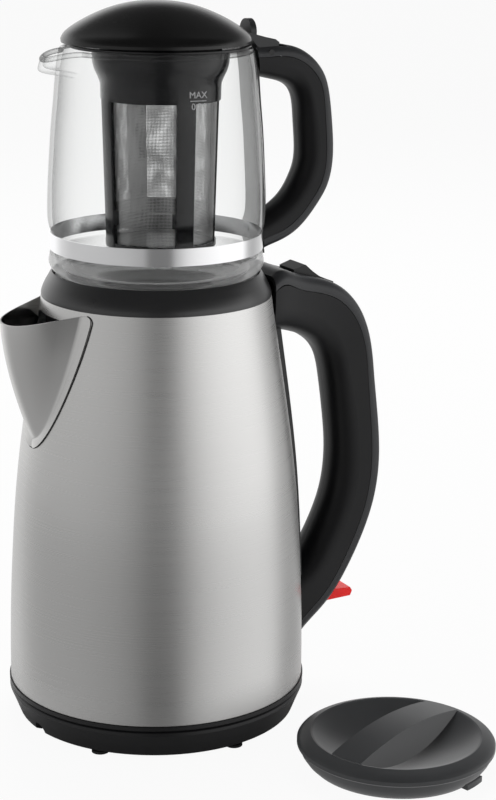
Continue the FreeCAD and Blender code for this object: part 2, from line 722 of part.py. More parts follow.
def teapot_handle_trim(shell):
    envelope = glass_envelope(4.0, GLASS_RIM + 6)
    return largest(shell.cut(envelope).cut(hinge_slot()).cut(cross_pin(*LID_PIVOT, LID_PIN_RADIUS, 20)))


def teapot_grip():
    shell = grip_shell(TEAPOT_HANDLE, TEAPOT_CAP_DEPTH, TEAPOT_GRIP_CORNER, 2.2)
    bar = grip_bar(TEAPOT_HANDLE, TEAPOT_CAP_DEPTH, TEAPOT_GRIP_CORNER)
    shell = shell.fuse(bar.common(block(50, 68.6, -12, 12, 240, 275)))
    middle = (BAND_BOTTOM + BAND_TOP) / 2
    shell = shell.cut(Part.makeCylinder(1.65, 40, Vector(50, 0, middle), Vector(1, 0, 0)))
    return teapot_handle_trim(shell)


def teapot_cap():
    return teapot_handle_trim(cap_shell(TEAPOT_HANDLE, TEAPOT_CAP_DEPTH, 2.2))


def lid_pin():
    return cross_pin(*LID_PIVOT, LID_PIN_RADIUS, 10.4)


# ---------------------------------------------------------------- infuser
def infuser_radius(z):
    return INFUSER_BOTTOM_RADIUS + (INFUSER_TOP_RADIUS - INFUSER_BOTTOM_RADIUS) * (
        z - INFUSER_BOTTOM) / (FUNNEL_BOTTOM - INFUSER_BOTTOM)


def infuser_frame():
    """Flange on the glass rim, funnel, four ribs, middle band and closed bottom."""
    flange = disc(48.4, GLASS_RIM + 0.3, 355.9).cut(disc(FUNNEL_RADIUS - 1.6, 350, 360, INFUSER_OFFSET))
    wall = 1.6
    cone = ring([(FUNNEL_RADIUS, 355.9), (INFUSER_TOP_RADIUS, FUNNEL_BOTTOM), (INFUSER_TOP_RADIUS, 328.0),
                 (INFUSER_TOP_RADIUS - wall, 328.0), (INFUSER_TOP_RADIUS - wall, FUNNEL_BOTTOM),
                 (FUNNEL_RADIUS - wall, 355.9)], x=INFUSER_OFFSET)
    basket = ring([(infuser_radius(329.0), 329.0), (INFUSER_BOTTOM_RADIUS, INFUSER_BOTTOM),
                   (0, INFUSER_BOTTOM), (0, INFUSER_BOTTOM + 1.6),
                   (INFUSER_BOTTOM_RADIUS - wall, INFUSER_BOTTOM + 1.6),
                   (infuser_radius(329.0) - wall, 329.0)], x=INFUSER_OFFSET)
    for bottom, top in ((257.0, 266.5), (274.0, 328.0)):
        for quarter in range(4):
            window = block(0, 40, -16.8, 16.8, bottom, top)
            window.rotate(ORIGIN, AXIS, 45 + 90 * quarter)
            window.translate(Vector(INFUSER_OFFSET, 0, 0))
            basket = basket.cut(window)
    return flange.fuse(cone).fuse(basket).removeSplitter()


def infuser_mesh():
    """Woven steel sleeve inside the ribs."""
    z0, z1 = INFUSER_BOTTOM + 1.9, 329.5
    r0, r1 = infuser_radius(z0) - 1.75, infuser_radius(z1) - 1.75
    return ring([(r0, z0), (r1, z1), (r1 - 0.3, z1), (r0 - 0.3, z0)], x=INFUSER_OFFSET)


# ---------------------------------------------------------------- teapot lid
def lid_dome():
    outer = [(48.0, 358.4), (46.5, 361.3), (43.8, 363.7), (38.0, 367.4), (30.0, 371.4),
             (20.3, 374.9), (10.0, 377.0), (0.0, 377.7)]
    inner = [(46.1, 357.9), (44.8, 359.6), (42.7, 361.4), (37.0, 365.2), (29.0, 369.2), (19.6, 372.6),
             (9.8, 374.7), (0.0, 375.4)]
    return turned(spline(outer), spline(inner), *straight([(0.0, 377.7), (0.0, 375.4)]),
                  *straight([outer[0], (47.8, 356.9), (46.1, 356.9), inner[0]]))


def lid_inner():
    """Underside plate with the short ring that centres the lid in the funnel."""
    cover = disc(46.0, 357.2, 358.6).fuse(tube(29.2, 30.8, 350.4, 357.4, INFUSER_OFFSET))
    return cover.cut(lid_dome())


def lid_arm():
    """Hinge arm with the knuckle on the pin and the upright thumb tab."""
    x, z = LID_PIVOT
    arm = plate([(45.0, 357.1), (50.6, 357.1), (54.3, 352.4), (x - 3.6, z - 2.6),
                 (x, z - 4.4), (x + 3.6, z - 2.6), (x + 5.6, 354.0), (x + 5.8, 355.4), (x + 3.6, 357.0),
                 (x - 2.0, 358.2), (50.0, 360.4), (47.0, 361.2), (45.0, 361.2)], ARM_HALF_WIDTH)
    arm = arm.cut(cross_pin(x, z, LID_PIN_RADIUS + FIT, 20))
    tab = Part.makeCylinder(6.6, 3.2, Vector(50.4, 0, 360.8), Vector(1, 0, 0))
    tab = tab.common(block(45, 60, -10, 10, 359.0, 380))
    arm = arm.fuse(tab)
    return largest(arm.cut(lid_dome()).cut(lid_inner()))


# ---------------------------------------------------------------- the kettle's own lid
def lid_bar(half_width, reach, drop):
    """Arched grip bar, its top lowered by drop."""
    crest = []
    for step in range(-4, 5):
        share = step / 4.0
        height = 16.3 + LOOSE_LID_BAR_RISE * (1.0 - share * share) - drop
        crest.append(Vector(share * reach, -half_width, height))
    floor = [Vector(reach, -half_width, 1.0), Vector(-reach, -half_width, 1.0)]
    arch = Part.BSplineCurve()
    arch.interpolate(crest)
    sides = [arch.toShape(), Part.makeLine(crest[-1], floor[0]), Part.makeLine(floor[0], floor[1]),
             Part.makeLine(floor[1], crest[0])]
    return Part.Face(Part.Wire(sides)).extrude(Vector(0, 2 * half_width, 0))


def loose_lid_top():
    """Bowl with a rolled flange, crossed by an arched bar that is open underneath."""
    x, y = LOOSE_LID_CENTRE
    rim = LOOSE_LID_RADIUS
    bowl = LOOSE_LID_BOWL_RADIUS
    outside = spline([(rim, 12.4), (49.6, 13.8), (46.4, 15.5), (bowl + 0.6, 16.3)])
    inside = spline([(bowl - 0.4, 16.0), (37.6, 13.0), (30.0, 9.5), (20.0, 6.1), (10.0, 4.2), (0, 3.6)])
    under = spline([(0, 1.2), (10.0, 1.8), (20.0, 3.7), (30.0, 7.2), (33.2, 8.6)])
    dish = turned(outside, *straight([(bowl + 0.6, 16.3), (bowl - 0.4, 16.0)]), inside,
                  *straight([(0, 3.6), (0, 1.2)]), under,
                  *straight([(33.2, 8.6), (40.4, 8.6), (40.4, 9.6), (rim - 0.8, 9.6),
                             (rim, 10.4), (rim, 12.4)]))
    envelope = Part.makeCylinder(bowl + 0.3, 30.0)
    bar = lid_bar(LOOSE_LID_BAR_HALF_WIDTH, bowl + 2.0, 0.0).common(envelope)
    lid = dish.fuse(bar).cut(lid_bar(LOOSE_LID_BAR_HALF_WIDTH - 2.2, 31.0, 2.6))
    lid = lid.cut(block(-31.0, 31.0, -6.8, 6.8, -1.0, 8.0))
    lid = lid.cut(tube(33.2, 60.0, -1.0, 8.6)).cut(tube(40.4, 60.0, -1.0, 9.6))
    lid.rotate(ORIGIN, AXIS, LOOSE_LID_BAR_ANGLE)
    lid.translate(Vector(x, y, 0))
    return lid


def loose_lid_skirt():
    """Ring with two bayonet lugs."""
    x, y = LOOSE_LID_CENTRE
    skirt = tube(40.0, 42.6, 0.0, 8.6)
    for angle in LOOSE_LID_LUG_ANGLES:
        lug = tube(42.0, 47.0, 1.0, 4.0).common(block(30, 60, -6.5, 6.5, 0, 6))
        lug.rotate(ORIGIN, AXIS, angle)
        skirt = skirt.fuse(lug)
    skirt.translate(Vector(x, y, 0))
    return skirt


def loose_lid_seal():
    x, y = LOOSE_LID_CENTRE
    return tube(42.7, 45.2, 7.4, 9.6, x, y)


PIECES = [base_shell, base_bottom_plate, base_screws, base_feet, base_connector, base_contacts,
          bottom_cover, cover_screws, heater_plate, heating_element, kettle_connector,
          connector_pins, thermal_control, kettle_body, spout, spout_filter, filter_mesh, collar,
          collar_gasket, handle_spine, water_gauge, gauge_seal, handle_studs, handle_nuts,
          kettle_grip, kettle_cap, release_lever, lever_pin, lever_spring, lever_seat,
          switch_lever, switch_pin, switch_housing, steam_bimetal, indicator_lamp,
          teapot_glass, chrome_band, teapot_spine, band_screw, teapot_grip, teapot_cap, lid_pin,
          infuser_frame, infuser_mesh, lid_dome, lid_inner, lid_arm,
          loose_lid_top, loose_lid_skirt, loose_lid_seal]

os.makedirs("parts", exist_ok=True)
for piece in PIECES:
    shape = piece()
    shape.exportStep("parts/%s.step" % piece.__name__)
    print(piece.__name__, len(shape.Solids), "solids", round(shape.Volume), "mm3", shape.isValid())
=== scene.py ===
"""Automatic tea maker: looks of the kettle, the glass teapot, the power base and the loose lid."""
import json
import math

import bmesh
import bpy
from mathutils import Matrix, Vector


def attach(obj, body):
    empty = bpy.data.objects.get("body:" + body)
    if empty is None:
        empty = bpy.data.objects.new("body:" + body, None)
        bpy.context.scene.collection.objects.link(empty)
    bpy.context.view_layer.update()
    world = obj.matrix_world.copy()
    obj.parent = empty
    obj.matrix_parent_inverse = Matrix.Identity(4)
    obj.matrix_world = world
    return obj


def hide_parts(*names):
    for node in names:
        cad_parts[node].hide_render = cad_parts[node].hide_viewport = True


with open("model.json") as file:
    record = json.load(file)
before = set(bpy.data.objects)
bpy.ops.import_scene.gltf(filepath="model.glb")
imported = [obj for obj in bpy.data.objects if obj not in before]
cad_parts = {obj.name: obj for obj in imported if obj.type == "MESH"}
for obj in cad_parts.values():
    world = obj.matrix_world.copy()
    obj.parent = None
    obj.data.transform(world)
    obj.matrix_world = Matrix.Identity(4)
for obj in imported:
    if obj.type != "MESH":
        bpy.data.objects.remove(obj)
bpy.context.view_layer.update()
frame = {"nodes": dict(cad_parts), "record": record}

MM = 0.001                                # lengths are in millimetres where no comment says metres
VIEW_AZIMUTH = math.radians(28.0)
VIEW_DROP = math.radians(15.11)
VIEW_ROLL = math.radians(0.676)
CAMERA_ASIDE = 0.0481                     # metres, as the next two
CAMERA_BACK = 1.015
CAMERA_HEIGHT = 0.4455
INFUSER_X = 2.5                           # the infuser hangs this far towards the handle


# ---------------------------------------------------------------- shader tools
class Wire:
    """A shader output that can stand in a sum."""

    def __init__(self, finish, socket):
        self.finish = finish
        self.socket = socket

    def math(self, operation, first, second=0.0):
        return self.finish.node("ShaderNodeMath", {"operation": operation}, {0: first, 1: second})

    def __add__(self, other):
        return self.math("ADD", self, other)

    def __radd__(self, other):
        return self.math("ADD", other, self)

    def __sub__(self, other):
        return self.math("SUBTRACT", self, other)

    def __rsub__(self, other):
        return self.math("SUBTRACT", other, self)

    def __mul__(self, other):
        return self.math("MULTIPLY", self, other)

    def __rmul__(self, other):
        return self.math("MULTIPLY", other, self)

    def __truediv__(self, other):
        return self.math("DIVIDE", self, other)

    def __rtruediv__(self, other):
        return self.math("DIVIDE", other, self)

    def __pow__(self, other):
        return self.math("POWER", self, other)

    def below(self, limit):
        return self.math("LESS_THAN", self, limit)

    def above(self, limit):
        return self.math("GREATER_THAN", self, limit)

    def either(self, other):
        return self.math("MAXIMUM", self, other)

    def part(self):
        return self.math("FRACT", self)

    def size(self):
        return self.math("ABSOLUTE", self)


class Finish:
    """A node tree that is written as calls."""

    def __init__(self, tree):
        self.tree = tree
        tree.nodes.clear()

    def node(self, kind, settings=None, sockets=None, output=0):
        made = self.tree.nodes.new(kind)
        for key, value in (settings or {}).items():
            if key == "stops":
                set_stops(made.color_ramp, value)
            else:
                setattr(made, key, value)
        for key, value in (sockets or {}).items():
            if isinstance(value, Wire):
                self.tree.links.new(value.socket, made.inputs[key])
            else:
                made.inputs[key].default_value = value
        return Wire(self, made.outputs[output] if made.outputs else None)

    def place(self):
        """Position on the object, in metres of the frame."""
        return self.node("ShaderNodeTexCoord", output=3)

    def axes(self, vector):
        """The three numbers of a vector."""
        split = self.node("ShaderNodeSeparateXYZ", sockets={0: vector})
        node = split.socket.node
        return [Wire(self, node.outputs[i]) for i in range(3)]

    def noise(self, vector, scale, detail=2.0, roughness=0.5):
        return self.node("ShaderNodeTexNoise", sockets={
            "Vector": vector, "Scale": scale, "Detail": detail, "Roughness": roughness})

    def stretched(self, vector, factors):
        return self.node("ShaderNodeVectorMath", {"operation": "MULTIPLY"}, {0: vector, 1: factors})

    def colours(self, factor, first, second):
        return self.node("ShaderNodeMix", {"data_type": "RGBA"},
                         {0: factor, 6: first, 7: second}, output=2)

    def ramp(self, factor, stops):
        return self.node("ShaderNodeValToRGB", {"stops": stops}, {0: factor})

    def bump(self, height, distance):
        return self.node("ShaderNodeBump", sockets={
            "Strength": 1.0, "Distance": distance, "Height": height})


def set_stops(ramp, stops):
    """Stops as (place, level of grey), from low to high."""
    tones = [(place, grey(level)) for place, level in stops]
    first, last = ramp.elements[0], ramp.elements[-1]
    first.position, first.color = tones[0]
    last.position, last.color = tones[-1]
    for place, tone in tones[1:-1]:
        ramp.elements.new(place).color = tone


def surface(name, make):
    """A material whose shader is what make(finish) returns."""
    material = bpy.data.materials.new(name)
    material.use_nodes = True
    finish = Finish(material.node_tree)
    shader = make(finish)
    finish.node("ShaderNodeOutputMaterial", sockets={"Surface": shader})
    return material


def grey(level):
    return (level, level, level, 1.0)


def principled(finish, **sockets):
    names = {key.replace("_", " "): value for key, value in sockets.items()}
    return finish.node("ShaderNodeBsdfPrincipled", sockets=names)


# ---------------------------------------------------------------- finishes
def moulded(name, colour, roughness, grain, ior=1.49):
    """Moulded plastic: fine grain, faint cloudiness and slightly uneven gloss."""
    def make(finish):
        place = finish.place()
        cloud = finish.noise(place, 45.0, 3.0)
        fine = finish.noise(place, 2600.0, 2.0)
        darker = tuple(0.86 * c for c in colour) + (1.0,)
        lighter = tuple(1.14 * c for c in colour) + (1.0,)
        return principled(
            finish, Base_Color=finish.colours(cloud, darker, lighter),
            Roughness=roughness + 0.10 * (cloud - 0.5) + 0.06 * (fine - 0.5),
            IOR=ior, Normal=finish.bump(fine, grain * MM))
    return surface(name, make)


def brushed(name, colour, roughness):
    """Steel brushed round its axis: long fine streaks that differ from height to height."""
    def make(finish):
        place = finish.place()
        x, y, z = finish.axes(place)
        round_it = finish.node("ShaderNodeMath", {"operation": "ARCTAN2"}, {0: y, 1: x})
        line = finish.node("ShaderNodeCombineXYZ",
                           sockets={0: 0.5 * round_it, 1: 0.0, 2: z})
        streaks = finish.noise(finish.stretched(line, (1.6, 1.0, 3200.0)), 1.0, 3.0, 0.6)
        broad = finish.noise(finish.stretched(line, (0.8, 1.0, 260.0)), 1.0, 2.0)
        darker = tuple(0.975 * c for c in colour) + (1.0,)
        lighter = tuple(1.02 * c for c in colour) + (1.0,)
        return principled(
            finish, Metallic=1.0, Anisotropic=0.75,
            Base_Color=finish.colours(0.6 * streaks + 0.4 * broad, darker, lighter),
            Roughness=roughness + 0.06 * (streaks - 0.5) + 0.03 * (broad - 0.5),
            Normal=finish.bump(streaks, 0.0025 * MM))
    return surface(name, make)


def plain_metal(name, colour, roughness, wear=0.06):
    """Smooth metal with faint handling marks."""
    def make(finish):
        place = finish.place()
        marks = finish.noise(place, 320.0, 4.0, 0.65)
        cloud = finish.noise(place, 60.0, 2.0)
        darker = tuple(0.93 * c for c in colour) + (1.0,)
        return principled(
            finish, Metallic=1.0,
            Base_Color=finish.colours(cloud, darker, tuple(colour) + (1.0,)),
            Roughness=roughness + wear * (marks - 0.4),
            Normal=finish.bump(marks, 0.004 * MM))
    return surface(name, make)


def woven_steel(name, axis, wires_round, pitch):
    """Fine wire mesh, wound round an upright axis at x = axis, a little uneven as such mesh is."""
    def make(finish):
        place = finish.place()
        x, y, z = finish.axes(place)
        uneven = finish.noise(place, 55.0, 2.0)
        turn = finish.node("ShaderNodeMath", {"operation": "ARCTAN2"}, {0: y, 1: x - axis})
        across = (turn * (wires_round / math.tau) + 1.6 * uneven).part() - 0.5
        along = (z / pitch + 1.1 * uneven).part() - 0.5
        width = 0.08 + 0.14 * uneven
        wire_up = (across.size() - width).below(0.0)
        wire_round = (along.size() - width).below(0.0)
        height = (0.5 - across.size()).either(0.5 - along.size())
        return principled(
            finish, Metallic=1.0, Roughness=0.36,
            Base_Color=finish.colours(uneven, grey(0.42), grey(0.66)),
            Alpha=wire_up.either(wire_round), Normal=finish.bump(height, 0.12 * MM))
    return surface(name, make)


def flat_mesh(name, pitch):
    """Fine wire mesh that stands upright behind the spout."""
    def make(finish):
        x, y, z = finish.axes(finish.place())
        across = (y / pitch).part() - 0.5
        along = (z / pitch).part() - 0.5
        solid = across.size().above(0.28).either(along.size().above(0.28))
        return principled(finish, Metallic=1.0, Base_Color=grey(0.5), Roughness=0.4, Alpha=solid)
    return surface(name, make)


# top of the glass's foot corner, which gets a painted pale tone (painted highlight)
GLASS_FOOT_TOP = 250.5
GLASS_FOOT_RADIUS = 46.5


def clear(name, tint, edge, edge_grey, power=3.6, foot_top=0.0):
    """Clear thin wall: open where it is faced, greyer and glossier along its edges.

    Under foot_top the rounded corner is thick; there the wall gets a painted pale tone and is made
    more solid, a painted highlight in place of the light that thick glass gathers."""
    def make(finish):
        place = finish.place()
        ripple = finish.noise(place, 26.0, 1.5)
        x, y, z = finish.axes(place)
        # mask of the foot's corner, where the wall is painted pale as a painted highlight
        foot = z.below(foot_top * MM) * (x * x + y * y).above((GLASS_FOOT_RADIUS * MM) ** 2)
        tone = finish.colours(ripple, grey(0.9 * edge_grey), grey(1.1 * edge_grey))
        # in the foot's corner the base colour is a painted pale grey (0.70), a painted highlight
        wall = principled(
            finish, Base_Color=finish.colours(foot, tone, grey(0.70)),
            Roughness=0.03 + 0.03 * ripple, IOR=1.4, Normal=finish.bump(ripple, 0.05 * MM))
        turned = finish.node("ShaderNodeLayerWeight", sockets={"Blend": 0.5}, output=1)
        # the foot's corner is made more solid so that its painted pale tone shows
        solid = (0.010 + edge * turned ** power).either(0.80 * foot * turned ** 1.2)
        ray = finish.node("ShaderNodeLightPath").socket.node.outputs
        unseen = Wire(finish, ray["Is Shadow Ray"]).either(Wire(finish, ray["Is Diffuse Ray"]))
        hole = finish.node("ShaderNodeBsdfTransparent", sockets={0: tint})
        return finish.node("ShaderNodeMixShader", sockets={
            0: solid * (1.0 - 0.8 * unseen), 1: hole, 2: wall})
    return surface(name, make)


def red_resin_with_painted_glow(name):
    """Clear red plastic with a painted red glow all over, which stands in for the light that comes
    through it.
    """
    def make(finish):
        place = finish.place()
        cloud = finish.noise(place, 120.0, 2.0)
        return principled(
            finish, Base_Color=finish.colours(cloud, (0.55, 0.003, 0.003, 1.0),
                                              (0.75, 0.010, 0.008, 1.0)),
            Roughness=0.18 + 0.05 * (cloud - 0.5), IOR=1.42,
            # painted glow: red emission in place of the light that shines through the resin
            Emission_Color=finish.colours(cloud, (0.20, 0.0, 0.0, 1.0), (0.34, 0.003, 0.002, 1.0)),
            Emission_Strength=1.0)
    return surface(name, make)


def rubber(name, colour):
    """Matt rubber with a fine tooth."""
    def make(finish):
        place = finish.place()
        cloud = finish.noise(place, 90.0, 3.0)
        fine = finish.noise(place, 1800.0, 3.0)
        darker = tuple(0.8 * c for c in colour) + (1.0,)
        return principled(
            finish, Base_Color=finish.colours(cloud, darker, tuple(colour) + (1.0,)),
            Roughness=0.78 + 0.12 * (fine - 0.5), Normal=finish.bump(fine, 0.02 * MM))
    return surface(name, make)


BELLY_HEIGHT = 271.0                      # where the glass is widest
BELLY_RADIUS = 55.8
BELLY_CURVE = 0.00101                     # how fast the glass narrows above its belly, per mm


def strip_plastic_painted_glow(name, outside, inside):
    """Dark strip whose face against the glass is pale and carries a painted glow, which stands in for
    light that reaches it through the glass.
    """
    def make(finish):
        place = finish.place()
        x, y, z = finish.axes(place)
        cloud = finish.noise(place, 45.0, 3.0)
        climb = (z / MM - BELLY_HEIGHT).either(0.0)
        glass = BELLY_RADIUS - BELLY_CURVE * climb * climb
        # mask of the face against the glass: pale, and lit by a painted glow
        pale = ((x * x + y * y) ** 0.5 / MM - glass).below(1.9)
        return principled(
            finish, Roughness=0.34 + 0.10 * (cloud - 0.5), IOR=1.45,
            Base_Color=finish.colours(pale, grey(outside), grey(inside)),
            # painted glow on the pale face, in place of light piped in through the glass
            Emission_Color=finish.colours(pale, grey(0.0), grey(0.36 * inside)),
            Emission_Strength=1.0)
    return surface(name, make)


FINISHES = {
    "satin_black": moulded("satin_black_plastic", (0.012, 0.012, 0.013), 0.32, 0.010),
    "grip_black": moulded("grip_black_plastic", (0.010, 0.010, 0.011), 0.40, 0.016, ior=1.34),
    "cap_grey": moulded("cap_grey_plastic", (0.036, 0.037, 0.040), 0.36, 0.012, ior=1.42),
    "gloss_black": moulded("gloss_black_plastic", (0.004, 0.004, 0.004), 0.25, 0.001),
    "brushed_steel": brushed("brushed_steel", (0.72, 0.715, 0.705), 0.28),
    "pressed_steel": plain_metal("pressed_steel", (0.60, 0.60, 0.59), 0.26),
    "mesh_steel": woven_steel("mesh_steel", INFUSER_X * MM, 250.0, 0.74 * MM),
    "screw_steel": plain_metal("screw_steel", (0.52, 0.52, 0.51), 0.30),
    "sheath_aluminium": plain_metal("sheath_aluminium", (0.70, 0.70, 0.70), 0.38),
    "contact_brass": plain_metal("contact_brass", (0.80, 0.60, 0.30), 0.28),
    "chrome": plain_metal("bright_chrome", (0.97, 0.97, 0.98), 0.15, wear=0.03),
    "clear_glass": clear("clear_glass", (0.992, 0.994, 0.993, 1.0), 0.70, 0.16,
                         foot_top=GLASS_FOOT_TOP),
    "clear_gauge": clear("clear_gauge", (0.88, 0.91, 0.92, 1.0), 0.80, 0.50),
    "seal_rubber": rubber("seal_rubber", (0.30, 0.30, 0.30)),
    "foot_rubber": rubber("foot_rubber", (0.03, 0.03, 0.03)),
    "red_translucent": red_resin_with_painted_glow("red_translucent"),
    "control_resin": moulded("control_resin", (0.55, 0.54, 0.50), 0.45, 0.012),
    "lid_grey": moulded("lid_grey_plastic", (0.070, 0.072, 0.075), 0.40, 0.012, ior=1.45),
}
RIM_GLASS = clear("clear_glass_rim", (0.97, 0.972, 0.971, 1.0), 0.95, 0.10, power=1.5)
SPOUT_MESH = flat_mesh("spout_mesh_steel", 0.9 * MM)
SPOUT_STEEL = plain_metal("spout_steel", (0.70, 0.695, 0.685), 0.24)
# near-black thread finish that paints the shade in the gap at the spout's joint
SEAM_SHADOW = moulded("seam_shadow", (0.010, 0.010, 0.010), 0.60, 0.004)
INFUSER_BLACK = moulded("infuser_black", (0.007, 0.007, 0.008), 0.16, 0.002, ior=1.50)
PRINT = moulded("grey_print", (0.60, 0.60, 0.61), 0.50, 0.002)
PIN_BLACK = moulded("burnished_pin", (0.004, 0.004, 0.004), 0.30, 0.002)
COLLAR_BLACK = moulded("collar_black_plastic", (0.018, 0.018, 0.019), 0.30, 0.010, ior=1.70)
ARM_BLACK = moulded("hinge_arm_black", (0.030, 0.031, 0.033), 0.34, 0.010)
STRIP_BLACK = strip_plastic_painted_glow("teapot_strip_black", 0.012, 0.72)
OWN_FINISH = {"filter_mesh": SPOUT_MESH, "lid_pin": PIN_BLACK, "lid_arm": ARM_BLACK,
              "teapot_spine": STRIP_BLACK, "collar": COLLAR_BLACK}


def dress_nodes():
    """Give every solid its own finish or that of its slot; the steel mirrors no loose lid."""
    for part in frame["record"]["subparts"]:
        node = frame["nodes"][part["node"]]
        finish = OWN_FINISH.get(part["node"], FINISHES[part["material_slot"]])
        if not node.material_slots:
            node.data.materials.append(finish)
        for place in node.material_slots:
            place.material = finish
        if part["node"].startswith("loose_lid"):
            node.visible_glossy = False


dress_nodes()


# ---------------------------------------------------------------- mesh tools
def piece(name, body, slot, points, faces, replaces=(), finish=None, sharp=32.0):
    """A closed piece from points in millimetres, riding on a body of the frame."""
    work = bmesh.new()
    corners = [work.verts.new([c * MM for c in point]) for point in points]
    for face in faces:
        ring = [corners[i] for n, i in enumerate(face) if i != face[n - 1]]
        if len(ring) > 2:
            work.faces.new(ring)
    bmesh.ops.recalc_face_normals(work, faces=work.faces)
    mesh = bpy.data.meshes.new(name)
    work.to_mesh(mesh)
    work.free()
    for face in mesh.polygons:
        face.use_smooth = True
    mesh.set_sharp_from_angle(angle=math.radians(sharp))
    mesh.materials.append(finish or FINISHES[slot])
    made = bpy.data.objects.new(name, mesh)
    bpy.context.scene.collection.objects.link(made)
    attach(made, body)
    if replaces:
        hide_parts(*replaces)
    return made


def skin(rings, wrap=True, capped=False):
    """Points and faces of a skin through rings of equally many points.

    wrap closes each ring; capped closes the first and the last ring with a face each."""
    count = len(rings[0])
    points = [p for ring in rings for p in ring]
    faces = []
    for row in range(len(rings) - 1):
        for i in range(count if wrap else count - 1):
            j = (i + 1) % count
            faces.append((row * count + i, row * count + j, (row + 1) * count + j,
                          (row + 1) * count + i))
    if capped:
        faces.append(tuple(range(count)))
        faces.append(tuple((len(rings) - 1) * count + i for i in range(count)))
    return points, faces


def loop_of(rings):
    """Points and faces of a skin whose last ring joins its first."""
    points, faces = skin(rings + [rings[0]])
    count = len(rings[0])
    last = len(rings) * count
    return points[:last], [tuple(i - last if i >= last else i for i in face) for face in faces]


def curve_through(points, steps):
    """Smooth curve through points: steps short pieces between each pair."""
    path = []
    for n in range(len(points) - 1):
        before = points[max(n - 1, 0)]
        after = points[min(n + 2, len(points) - 1)]
        a, b = points[n], points[n + 1]
        for step in range(steps):
            t = step / steps
            path.append(tuple(
                0.5 * (2 * q + (r - p) * t + (2 * p - 5 * q + 4 * r - s) * t * t
                       + (3 * q - p - 3 * r + s) * t ** 3)
                for p, q, r, s in zip(before, a, b, after)))
    path.append(tuple(points[-1]))
    return path


def reading(table, place):
    """Straight-line reading of a table of (place, value)."""
    for (p0, v0), (p1, v1) in zip(table, table[1:]):
        if place <= p1:
            return v0 + (v1 - v0) * (place - p0) / (p1 - p0)
    return table[-1][1]


# ---------------------------------------------------------------- glass
# Outlines of the glass as (radius, height), outside from the foot up, inside from the rim down.
GLASS_OUTSIDE = curve_through([
    (0.01, 238.7), (22.0, 238.7), (43.0, 238.7), (50.6, 239.8), (54.0, 242.6), (55.4, 246.0),
    (54.9, 250.0), (54.05, 253.4), (54.0, 257.3), (54.05, 261.3), (55.2, 265.0), (55.8, 271.0),
    (55.5, 283.0), (54.9, 294.0), (53.6, 313.0), (52.1, 328.0), (51.4, 336.0), (50.9, 341.0),
    (50.7, 342.6), (50.5, 344.2), (50.2, 346.4), (49.8, 349.0), (49.3, 351.2), (49.0, 352.8)], 4)
GLASS_INSIDE = curve_through([
    (46.5, 352.8), (47.0, 350.8), (47.5, 348.6), (47.9, 346.6), (48.3, 344.6), (48.8, 341.0),
    (49.9, 328.0), (51.4, 313.0), (52.7, 294.0), (53.3, 283.0), (53.3, 268.0), (52.2, 257.0),
    (52.4, 249.5), (49.6, 243.6), (41.5, 241.7), (22.0, 241.4), (0.01, 241.4)], 4)
LIP_REACH = 13.4                          # how far the pouring lip is drawn out
LIP_DROP = 3.6
LIP_HALF_ANGLE = math.radians(17.0)
LIP_FOOT = 341.8
LIP_TOP = 354.0
INSIDE_DELAY = 1.9                        # the inside starts to bend this much higher up
RIM_BEAD = 1.35


def round_angles():
    """Angles round the glass, close together at the pouring lip on the -X side."""
    fine = [math.radians(180.0 + 0.8 * i) for i in range(-24, 25)]
    wide = 124
    start, span = fine[-1], math.tau - (fine[-1] - fine[0])
    return fine + [start + span * (i + 1) / (wide + 1) for i in range(wide)]


def with_lip(r, z, angle, delay):
    """A point of the glass wall, drawn out where the pouring lip is."""
    turn = angle % math.tau - math.pi
    share = max(0.0, 1.0 - (turn / LIP_HALF_ANGLE) ** 2) ** 1.4
    climb = max(0.0, (z - LIP_FOOT - delay) / (LIP_TOP - LIP_FOOT))
    swell = 1.0 - (1.0 - min(1.0, climb / 0.5)) ** 3
    r += LIP_REACH * share * swell
    z -= LIP_DROP * share ** 2 * climb
    return Vector((r * math.cos(angle), r * math.sin(angle), z))


def make_glass():
    """Blown glass wall, drawn out into the pouring lip."""
    angles = round_angles()
    edge = [(48.9, 353.4), (48.6, 353.9), (48.0, 354.1), (47.3, 354.0), (46.7, 353.6)]
    rings = [[with_lip(r, z, angle, 0.0) for angle in angles] for r, z in GLASS_OUTSIDE + edge]
    rings += [[with_lip(r, z, angle, INSIDE_DELAY) for angle in angles] for r, z in GLASS_INSIDE]
    points, faces = skin(rings, capped=True)
    piece("teapot_glass_blown", "teapot", "clear_glass", points, faces,
          replaces=["teapot_glass"], sharp=80.0)


def make_glass_rim():
    """Fire-rounded bead along the mouth and the pouring lip."""
    centres = [0.5 * (with_lip(48.9, 353.2, angle, 0.0) + with_lip(46.7, 353.2, angle, INSIDE_DELAY))
               for angle in round_angles()]
    rings = []
    for n, here in enumerate(centres):
        ahead = (centres[(n + 1) % len(centres)] - centres[n - 1]).normalized()
        side = ahead.cross(Vector((0.0, 0.0, 1.0))).normalized()
        high = side.cross(ahead)
        rings.append([here + RIM_BEAD * (math.cos(math.tau * k / 16) * side
                                         + math.sin(math.tau * k / 16) * high)
                      for k in range(16)])
    points, faces = loop_of(rings)
    piece("teapot_glass_rim", "teapot", "clear_glass", points, faces, finish=RIM_GLASS, sharp=80.0)


def wall_radius(z):
    """Outside radius of the glass wall at a height."""
    return reading([(p[1], p[0]) for p in GLASS_OUTSIDE if p[1] > 262.0], z)


MARK_BEARING = math.radians(-92.1)
MARK_HEIGHT = 333.0
MARK_LETTER = 4.4
MARK_LINE = 8.6
PRINT_PROUD = 0.05
PRINT_SUNK = 0.02


